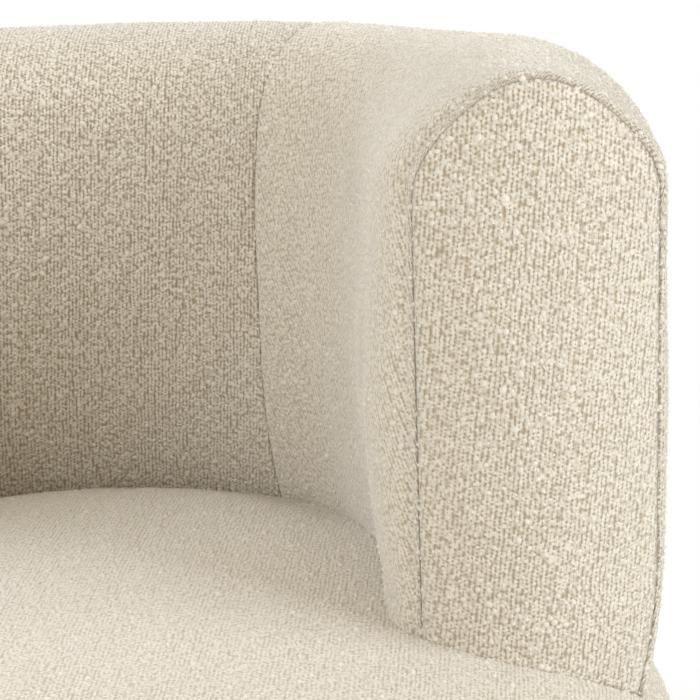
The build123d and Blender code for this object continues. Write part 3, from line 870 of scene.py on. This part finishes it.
def nub_tree(cloth):
    """Large loops of yarn strewn over the outside of a cover."""
    if "loose loops" in bpy.data.node_groups:
        return bpy.data.node_groups["loose loops"]
    tree, start, end = new_group(
        "loose loops", "GeometryNodeTree",
        {"Geometry": "Geometry", "Gap": "Float", "Density": "Float", "Size": "Float", "Seed": "Int"},
        {"Geometry": "Geometry"})
    outside = node(tree, "GeometryNodeInputNamedAttribute", {"data_type": "BOOLEAN"}, Name="outside")
    strewn = node(tree, "GeometryNodeDistributePointsOnFaces", {"distribute_method": "POISSON"},
                  Mesh=start["Geometry"], Selection=outside, Distance_Min=start["Gap"],
                  Density_Max=start["Density"], Seed=start["Seed"])
    turn = node(tree, "FunctionNodeRandomValue", {"data_type": "FLOAT"}, i2=0.0, i3=2 * math.pi, Seed=11)
    spin = node(tree, "FunctionNodeAxisAngleToRotation", Axis=(0, 0, 1), Angle=turn.outputs[1])
    facing = node(tree, "FunctionNodeRotateRotation", {"rotation_space": "LOCAL"},
                  Rotation=strewn.outputs["Rotation"], Rotate_By=spin)
    spread = node(tree, "FunctionNodeRandomValue", {"data_type": "FLOAT_VECTOR"},
                  i0=(0.75, 0.60, 0.35), i1=(1.40, 1.05, 0.62), Seed=12)
    chance = node(tree, "FunctionNodeRandomValue", {"data_type": "FLOAT"}, i2=0.0, i3=1.0, Seed=14)
    few_large = Value(chance.outputs[1]).maths("POWER", 6.0) * 0.75 + 0.75
    size = node(tree, "ShaderNodeVectorMath", {"operation": "SCALE"},
                Vector=spread, Scale=few_large * start["Size"])
    cone = node(tree, "GeometryNodeMeshCone", {"fill_type": "NGON"}, Vertices=5, Side_Segments=1,
                Radius_Top=0.0, Radius_Bottom=1.0, Depth=1.3)
    loop = node(tree, "GeometryNodeTransform", Geometry=cone, Translation=(0, 0, -0.35))
    placed = node(tree, "GeometryNodeInstanceOnPoints",
                  Points=strewn, Instance=loop, Rotation=facing, Scale=size)
    shade = node(tree, "FunctionNodeRandomValue", {"data_type": "FLOAT"}, Seed=13)
    toned = node(tree, "GeometryNodeStoreNamedAttribute", {"data_type": "FLOAT", "domain": "INSTANCE"},
                 Geometry=placed, Name="tone", Value=shade.outputs[1])
    real = node(tree, "GeometryNodeRealizeInstances", Geometry=toned)
    smooth = node(tree, "GeometryNodeSetShadeSmooth", Geometry=real)
    finished = node(tree, "GeometryNodeSetMaterial", Geometry=smooth, Material=boucle_nub(cloth))
    both = node(tree, "GeometryNodeJoinGeometry")
    tree.links.new(finished.outputs[0], both.inputs[0])
    tree.links.new(start["Geometry"].socket, both.inputs[0])
    tree.links.new(both.outputs[0], end[0])
    return tree


def staple_tree(metal):
    """Wire staples laid end to end round a circle."""
    tree, start, end = new_group(
        "staples", "GeometryNodeTree",
        {"Geometry": "Geometry", "Radius": "Float", "Level": "Float", "Count": "Int", "Wire": "Float"},
        {"Geometry": "Geometry"})
    ring = node(tree, "GeometryNodeCurvePrimitiveCircle", Resolution=128, Radius=start["Radius"])
    lift = node(tree, "ShaderNodeCombineXYZ", Z=start["Level"])
    raised = node(tree, "GeometryNodeTransform", Geometry=ring, Translation=lift)
    spots = node(tree, "GeometryNodeCurveToPoints", {"mode": "COUNT"}, Curve=raised, Count=start["Count"])
    line = node(tree, "GeometryNodeCurvePrimitiveLine", Start=(0, 0, -0.005), End=(0, 0, 0.005))
    round_wire = node(tree, "GeometryNodeCurvePrimitiveCircle", Resolution=6, Radius=start["Wire"])
    wire = node(tree, "GeometryNodeCurveToMesh", Curve=line, Profile_Curve=round_wire, Fill_Caps=True)
    placed = node(tree, "GeometryNodeInstanceOnPoints", Points=spots, Instance=wire,
                  Rotation=spots.outputs["Rotation"])
    real = node(tree, "GeometryNodeRealizeInstances", Geometry=placed)
    finished = node(tree, "GeometryNodeSetMaterial", Geometry=real, Material=metal)
    tree.links.new(finished.outputs[0], end[0])
    return tree


def run_nodes(obj, tree, given):
    """Runs a Geometry Nodes tree on a piece, and leaves its result as a plain mesh."""
    sockets = {item.name: item.identifier for item in tree.interface.items_tree if item.in_out == "INPUT"}
    made = obj.modifiers.new("made", "NODES")
    made.node_group = tree
    for name, value in given.items():
        made[sockets[name]] = value
    bpy.context.view_layer.update()
    result = bpy.data.meshes.new_from_object(obj.evaluated_get(bpy.context.evaluated_depsgraph_get()))
    obj.modifiers.clear()
    old, obj.data = obj.data, result
    bpy.data.meshes.remove(old)
    result.name = obj.name


def add_nubs(obj, cloth, seed):
    """Strews the large loops over a cover."""
    run_nodes(obj, nub_tree(cloth), {"Gap": cloth.nub_gap, "Density": cloth.nub_density,
                                     "Size": cloth.nub_size, "Seed": seed})


# Operators

class ARMCHAIR_OT_seat(bpy.types.Operator):
    """Builds the domed seat"""

    bl_idname = "armchair.seat"
    bl_label = "Seat"

    def execute(self, context):
        shape = context.scene.armchair_shape
        long = seat_length(shape)
        disc, reach = disc_grid(int(round(long / (SEAT_STEP * shape.step))))
        radius, height = seat_profile(shape, reach * long)
        bent = disc * (radius / np.maximum(reach, 1e-9))[..., None]
        points = np.concatenate([bent, height[..., None]], -1)
        # Cut lower by most of what the filling pushes it out
        points[..., 2] -= seat_sink(shape, points) + 0.9 * shape.plump * (1 - reach ** 8)
        dress(context, "seat", points, turned(disc * long, 4), (1 - reach) * long, FAR,
              nodes=["seat_top_cover", "seat_top_foam", "seat_core_foam"], seed=10, coarse=0.54)
        return {"FINISHED"}


class ARMCHAIR_OT_drum(bpy.types.Operator):
    """Builds the cover round the seat's drum"""

    bl_idname = "armchair.drum"
    bl_label = "Drum side"

    def execute(self, context):
        shape = context.scene.armchair_shape
        bend, clear = 0.03, 0.0005
        tall, turn = DRUM_HIGH.z - DRUM_LOW.z - bend, bend * math.pi / 2
        under = shape.seat_radius - bend - PLINTH_HIGH.y - clear
        long, step = tall + turn + under, DRUM_STEP * shape.step
        along = np.linspace(0, long, int(round(long / step)) + 1)
        bent = np.clip((along - tall) / bend, 0, math.pi / 2)
        radius = shape.seat_radius - bend * (1 - np.cos(bent)) - np.maximum(along - tall - turn, 0)
        height = DRUM_HIGH.z - np.minimum(along, tall) - bend * np.sin(bent)
        count = int(round(2 * math.pi * shape.seat_radius / step))
        angle = np.linspace(0, -2 * math.pi, count, endpoint=False)[:, None]
        points = np.stack(np.broadcast_arrays(-radius * np.sin(angle), radius * np.cos(angle), height), -1)
        flat = np.stack(np.broadcast_arrays(-angle * shape.seat_radius, -along), -1)
        seam = np.minimum(along, shape.seat_radius * np.minimum(-angle, 2 * math.pi + angle))
        dress(context, "drum_side", points, flat, seam, FAR,
              nodes=["drum_side_cover", "drum_side_foam"], seed=20, coarse=COARSE, wrap=True)
        return {"FINISHED"}


class ARMCHAIR_OT_back(bpy.types.Operator):
    """Builds the inside of the back, over the top to the outer seam"""

    bl_idname = "armchair.back"
    bl_label = "Inside back"

    def execute(self, context):
        shape = context.scene.armchair_shape
        reach = seam_place(shape)
        points, flat = Stations(shape, -reach, reach, shape.step).grid(ROWS, "inner foot", "seam")
        seam = edge_distance(points, ["start", "end", "high"])
        dress(context, "inside_back", points, turned(flat, 4), seam, FAR,
              nodes=["inside_back_cover", "inside_back_foam", "top_roll_foam"],
              seed=30, coarse=weave_strength_inside(0.95))
        return {"FINISHED"}


class ARMCHAIR_OT_arms(bpy.types.Operator):
    """Builds the inside and top of both arms"""

    bl_idname = "armchair.arms"
    bl_label = "Arms"

    def execute(self, context):
        shape = context.scene.armchair_shape
        stations = Stations(shape, seam_place(shape), PAST, shape.step)
        points, flat = stations.grid(ROWS, "inner foot", "seam")
        for name, side in SIDES.items():
            place, cloth = points * (side, 1, 1), flat * (side, 1)
            back, front = "start", "end"
            if side < 0:
                place, cloth = place[::-1], cloth[::-1]
                back, front = front, back
            seam, front = edge_distance(place, [back, "high"]), edge_distance(place, [front])
            dress(context, "arm_" + name, place, turned(cloth, -22 * side), seam, front,
                  nodes=["arm_cover_" + name, "inside_arm_foam_" + name],
                  seed=40 + side, coarse=weave_strength_inside(0.62))
        return {"FINISHED"}


class ARMCHAIR_OT_outside(bpy.types.Operator):
    """Builds the outside of the wall, below its seam"""

    bl_idname = "armchair.outside"
    bl_label = "Outside"

    def execute(self, context):
        shape = context.scene.armchair_shape
        stations = Stations(shape, -PAST, PAST, OUTSIDE_STEP * shape.step)
        points, flat = stations.grid(OUTSIDE_ROWS, "seam", "outer foot")
        seam, front = edge_distance(points, ["low"]), edge_distance(points, ["start", "end"])
        dress(context, "outside", points, flat, seam, front,
              nodes=["outside_cover", "outside_foam"], seed=50, coarse=COARSE)
        return {"FINISHED"}


class ARMCHAIR_OT_arm_fronts(bpy.types.Operator):
    """Builds the arched panel in each arm's front end"""

    bl_idname = "armchair.arm_fronts"
    bl_label = "Arm fronts"

    def execute(self, context):
        shape = context.scene.armchair_shape
        on_arm, rim_points, above_arch = 0.5, 1401, 0.045
        flatter, flatter_from, flatter_over, roundness = 0.4, 0.60, 0.12, 2.2
        stations = Stations(shape, on_arm, PAST, shape.step)
        rim = stations.grid(rim_points, "inner foot", "outer foot")[0][-1]
        along = np.append(0, np.cumsum(np.linalg.norm(np.diff(rim, axis=0), axis=1)))
        # The panel's top edge starts and ends a little above where the arch does
        level = shape.wall_top - (shape.wall_outer - shape.wall_inner) / 2 + above_arch
        top = np.flatnonzero(rim[:, 2] > level)
        first, last = along[top[0]], along[top[-1]]
        tall, wide = int(round(first / shape.step)), int(round(PANEL / shape.step))

        def edge(begin, finish, count):
            """An even row of points along the rim."""
            even = np.linspace(begin, finish, count + 1)
            return np.stack([np.interp(even, along, rim[:, axis]) for axis in range(3)], -1)

        left, right = edge(0, first, tall), edge(along[-1], last, tall)
        above = edge(first, last, wide)
        sewn = np.concatenate([left, above, right])
        u, v = np.linspace(0, 1, wide + 1)[:, None, None], np.linspace(0, 1, tall + 1)[None, :, None]
        below = (left[0] * (1 - u) + right[0] * u)[:, 0]
        # A patch between the four edges, bulged, with its foot brought back to the seat each round
        for _ in range(4):
            points = (1 - v) * below[:, None] + v * above[:, None] + (1 - u) * left[None] + u * right[None]
            points -= (1 - u) * ((1 - v) * left[0] + v * left[-1]) + u * ((1 - v) * right[0] + v * right[-1])
            flat = points[..., [0, 2]].reshape(-1, 2)
            seam = np.array([np.linalg.norm(sewn[:, [0, 2]] - place, axis=1).min() for place in flat])
            seam = seam.reshape(points.shape[:2])
            bulge = shape.crown * (1 - flatter * ease((points[..., 2] - flatter_from) / flatter_over))
            points[..., 1] -= bulge * (1 - (1 - np.minimum(seam / (PANEL / 2), 1)) ** roundness)
            low = points[:, 0]
            below[:, 2] = seat_surface(shape, np.hypot(low[:, 0], low[:, 1])) - OUTER_FOOT
        for name, side in SIDES.items():
            place, front = points * (side, 1, 1), seam
            if side < 0:
                place, front = place[::-1], front[::-1]
            flat = turned(place[..., [0, 2]], 6)
            dress(context, "arm_front_" + name, place, flat, FAR + front, front,
                  nodes=["arm_front_cover_" + name, "arm_front_pad_" + name], seed=60 + side, coarse=0.76)
        return {"FINISHED"}


class ARMCHAIR_OT_suspension(bpy.types.Operator):
    """Builds the seat's woven straps and the felt over them"""

    bl_idname = "armchair.suspension"
    bl_label = "Suspension"

    def execute(self, context):
        cloth = strap_cloth()
        wide, pitch, middle = 0.06, 0.09, (FELT_LOW.z + SEAT_LOW.z) / 2
        half_thick, inset, uneven, uneven_size = 0.0009, 0.006, 0.0002, 0.2
        reach = FELT_HIGH.x - inset
        for name, turn, phase in (("lengthwise", False, 0), ("crosswise", True, 1)):
            straps = []
            for place in range(-2, 3):
                half = math.sqrt(reach ** 2 - (abs(place) * pitch + wide / 2) ** 2)
                along = np.linspace(-half, half, 91)[None]
                across = np.linspace(-wide / 2, wide / 2, 7)[:, None]
                weave = middle + half_thick * np.cos(math.pi * (along / pitch + place + phase))
                points = np.stack(np.broadcast_arrays(place * pitch + across, along, weave + half_thick), -1)
                flat = np.stack(np.broadcast_arrays(across, along), -1)
                if turn:
                    points = points[..., [1, 0, 2]][::-1]
                    flat = flat[::-1]
                straps.append(closed_cover("strap", points, flat, 2 * half_thick, step=1))
            webbing = joined(straps, "webbing_" + name + "_straps")
            webbing.data.materials.append(cloth)
            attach(webbing, "root")
            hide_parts("webbing_" + name)
        disc, out = disc_grid(40)
        points = np.concatenate([disc * FELT_HIGH.x, np.full((*out.shape, 1), FELT_HIGH.z)], -1)
        points[..., 2] += uneven * lumps(disc, uneven_size, 70)
        felt = closed_cover("felt", points, disc * FELT_HIGH.x, FELT_HIGH.z - FELT_LOW.z, step=2)
        felt.data.materials.append(
            speckled("needled_felt", (0.52, 0.50, 0.47), (0.24, 0.23, 0.22), 700.0, 0.9, 0.0006))
        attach(felt, "root")
        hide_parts("seat_felt")
        return {"FINISHED"}


class ARMCHAIR_OT_underside(bpy.types.Operator):
    """Builds the dust cover and the staples that hold it"""

    bl_idname = "armchair.underside"
    bl_label = "Underside"

    def execute(self, context):
        inset, margin, thick, wire = 0.012, 0.01, 0.0004, 0.0005
        sag, pucker, cloth_below, staples_below = 0.0035, 0.0004, 0.0005, 0.0007
        edge = DUST_HIGH.x
        stapled = edge - inset
        disc, out = disc_grid(60)
        angle = np.arctan2(disc[..., 1], disc[..., 0])
        free = np.clip(1 - (out * edge / (stapled - margin)) ** 2, 0, 1)
        puckers = pucker * np.cos(STAPLES * angle) * near(out * edge - stapled + inset, margin)
        height = DUST_HIGH.z - cloth_below - sag * free ** 2 + np.minimum(puckers, 0)
        points = np.concatenate([disc * edge, height[..., None]], -1)[::-1]
        dust = closed_cover("dust_cloth_sheet", points, disc[::-1] * edge, thick, step=1)
        dust.data.materials.append(
            speckled("spunbond_cloth", (0.030, 0.030, 0.031), (0.012, 0.012, 0.013), 1200.0, 0.85, 0.0003))
        staples = plain_object("dust_staples", [(0, 0, 0)], [])
        run_nodes(staples, staple_tree(bpy.data.materials["zinc_steel"]),
                  {"Radius": stapled, "Level": DUST_HIGH.z - staples_below, "Count": STAPLES, "Wire": wire})
        for piece in (dust, staples):
            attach(piece, "root")
        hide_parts("dust_cover")
        return {"FINISHED"}


class ARMCHAIR_OT_frame_finish(bpy.types.Operator):
    """Gives the frame, the plinth, the glides and the fasteners their finishes"""

    bl_idname = "armchair.frame_finish"
    bl_label = "Frame finishes"

    def execute(self, context):
        finishes = {
            "plywood": wood("raw_plywood", (0.62, 0.45, 0.27), (0.42, 0.27, 0.14), 0.55, True),
            "black_plinth": wood("black_stain", (0.022, 0.021, 0.020), (0.008, 0.008, 0.008), 0.45, False),
            "steel": speckled("zinc_steel", (0.66, 0.66, 0.67), (0.48, 0.49, 0.51), 500.0, 0.38, 0.00008,
                              metallic=1.0),
            "glide_plastic": speckled("glide_plastic_grain", (0.05, 0.05, 0.05), (0.028, 0.028, 0.028), 900.0,
                                      0.55, 0.00015),
        }
        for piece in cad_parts.values():
            for place in piece.material_slots:
                finish = finishes.get(place.material.name.split(".")[0])
                if finish:
                    place.material = finish
        return {"FINISHED"}


class ARMCHAIR_OT_studio(bpy.types.Operator):
    """Builds the floor, the light and the camera"""

    bl_idname = "armchair.studio"
    bl_label = "Studio"

    def execute(self, context):
        studio = context.scene.armchair_studio
        self.floor()
        self.world(context, studio.ambient)
        for name, place in LAMPS.items():
            self.lamp(context, name, getattr(studio, name + "_power"), place)
        self.camera(context, studio.lens)
        context.scene.view_settings.view_transform = "Standard"
        return {"FINISHED"}

    def floor(self):
        """A plain pale floor that turns white for the camera away from the chair."""
        size = 20
        corners = [(-size, -size, 0), (size, -size, 0), (size, size, 0), (-size, size, 0)]
        floor = plain_object("floor", corners, [(0, 1, 2, 3)])
        material, tree = new_material("pale_floor")
        place = object_place(tree)
        reach = node(tree, "ShaderNodeVectorMath", {"operation": "LENGTH"}, i0=place).outputs["Value"]
        far = ramped(tree, reach, 0.5, 0.95)
        colour = mixed(tree, noise(tree, place, 40.0, 3.0), (0.80, 0.80, 0.79), (0.84, 0.84, 0.83))
        matte = node(tree, "ShaderNodeBsdfPrincipled", Base_Color=colour, Roughness=0.9)
        white = node(tree, "ShaderNodeEmission", Color=WHITE, Strength=1.0)
        both = node(tree, "ShaderNodeMixShader", i0=far * seen(tree), i1=matte, i2=white)
        node(tree, "ShaderNodeOutputMaterial", Surface=both)
        floor.data.materials.append(material)

    def world(self, context, ambient):
        """White to the camera, and an even soft light on the chair."""
        world = bpy.data.worlds.new("studio")
        world.use_nodes = True
        tree = world.node_tree
        tree.nodes.clear()
        soft = node(tree, "ShaderNodeBackground", Color=AMBIENT_COLOUR, Strength=ambient)
        white = node(tree, "ShaderNodeBackground", Color=WHITE, Strength=1.0)
        both = node(tree, "ShaderNodeMixShader", i0=seen(tree), i1=soft, i2=white)
        node(tree, "ShaderNodeOutputWorld", Surface=both)
        context.scene.world = world

    def lamp(self, context, name, watts, place):
        """A large square lamp that faces the chair."""
        light = bpy.data.lights.new(name, "AREA")
        light.energy, light.size, light.color = watts, LAMP_SIZE, LAMP_COLOUR
        lamp = bpy.data.objects.new(name, light)
        lamp.location = place
        aim = Vector(LAMP_AIM) - Vector(place)
        lamp.rotation_euler = aim.to_track_quat("-Z", "Y").to_euler()
        context.scene.collection.objects.link(lamp)

    def camera(self, context, lens):
        """The camera at the photograph's place and angle."""
        yaw, pitch, roll = (math.radians(angle) for angle in CAMERA_TURN)
        ahead = Vector((math.sin(yaw) * math.cos(pitch), math.cos(yaw) * math.cos(pitch), -math.sin(pitch)))
        right = Vector((math.cos(yaw), -math.sin(yaw), 0))
        up = right.cross(ahead)
        level_right = math.cos(roll) * right + math.sin(roll) * up
        level_up = -math.sin(roll) * right + math.cos(roll) * up
        data = bpy.data.cameras.new("camera")
        data.lens, data.sensor_width = lens, 36
        data.clip_start, data.clip_end = 0.05, 100
        camera = bpy.data.objects.new("camera", data)
        turn = Matrix((level_right, level_up, -ahead)).transposed()
        camera.matrix_world = Matrix.Translation(CAMERA_PLACE) @ turn.to_4x4()
        context.scene.collection.objects.link(camera)
        context.scene.camera = camera


class ARMCHAIR_PT_sidebar(bpy.types.Panel):
    """The armchair's settings and builders"""

    bl_idname = "ARMCHAIR_PT_sidebar"
    bl_label = "Boucle Armchair"
    bl_space_type = "VIEW_3D"
    bl_region_type = "UI"
    bl_category = "Armchair"

    def draw(self, context):
        layout = self.layout
        for settings in ("armchair_shape", "armchair_cloth", "armchair_studio"):
            group = getattr(context.scene, settings)
            box = layout.box()
            for key in group.__annotations__:
                box.prop(group, key)
        for builder in BUILDERS:
            layout.operator(builder.bl_idname)


SETTINGS = {
    "armchair_shape": ArmchairShape,
    "armchair_cloth": ArmchairCloth,
    "armchair_studio": ArmchairStudio,
}
BUILDERS = (
    ARMCHAIR_OT_studio,
    ARMCHAIR_OT_seat,
    ARMCHAIR_OT_drum,
    ARMCHAIR_OT_back,
    ARMCHAIR_OT_arms,
    ARMCHAIR_OT_outside,
    ARMCHAIR_OT_arm_fronts,
    ARMCHAIR_OT_frame_finish,
    ARMCHAIR_OT_suspension,
    ARMCHAIR_OT_underside,
)


def register():
    """Makes the classes and settings known to Blender."""
    for settings in (*SETTINGS.values(), *BUILDERS, ARMCHAIR_PT_sidebar):
        bpy.utils.register_class(settings)
    for name, settings in SETTINGS.items():
        setattr(bpy.types.Scene, name, bpy.props.PointerProperty(type=settings))


def unregister():
    """Takes the classes and settings away again."""
    for name in SETTINGS:
        delattr(bpy.types.Scene, name)
    for settings in reversed((*SETTINGS.values(), *BUILDERS, ARMCHAIR_PT_sidebar)):
        bpy.utils.unregister_class(settings)


def main():
    """Builds the whole chair."""
    register()
    for builder in BUILDERS:
        group, name = builder.bl_idname.split(".")
        getattr(getattr(bpy.ops, group), name)()
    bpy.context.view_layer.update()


if __name__ == "__main__":
    main()
